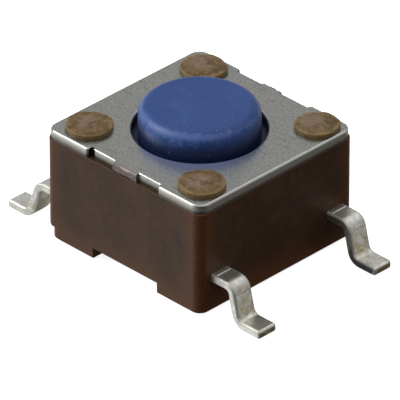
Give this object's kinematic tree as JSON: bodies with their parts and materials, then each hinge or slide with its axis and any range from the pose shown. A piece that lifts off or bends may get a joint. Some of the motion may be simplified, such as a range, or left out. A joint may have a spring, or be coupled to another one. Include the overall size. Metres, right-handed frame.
{
  "type": "tactile switch",
  "caption": "Square surface-mount tactile push switch: round button through a staked metal cover on a moulded base, with gull-wing leads.",
  "frame": {"origin": "middle of the lead footprint, on the board plane that the lead feet stand on", "axes": "+Z the way the button points, +X the way the leads leave the body"},
  "size_m": [0.0098, 0.006, 0.0043],
  "materials": {
    "moulding": "brown moulded plastic, satin",
    "cover_steel": "satin stainless steel",
    "button": "blue moulded plastic, matte",
    "spring_steel": "bright spring steel",
    "tin_plate": "bright tin plate"
  },
  "bodies": {
    "housing": {"base": "moulding", "cover": "cover_steel", "contact_dome": "spring_steel", "contact_strip_centre": "tin_plate", "contact_strip_rim": "tin_plate"},
    "plunger": {"plunger": "button"}
  },
  "joints": [
    {"name": "button_press", "type": "slide", "parent": "housing", "child": "plunger", "axis": [0, 0, -1], "range_m": [0, 0.00025], "stiffness_N_per_m": 6400, "deforming": ["contact_dome"]}
  ]
}
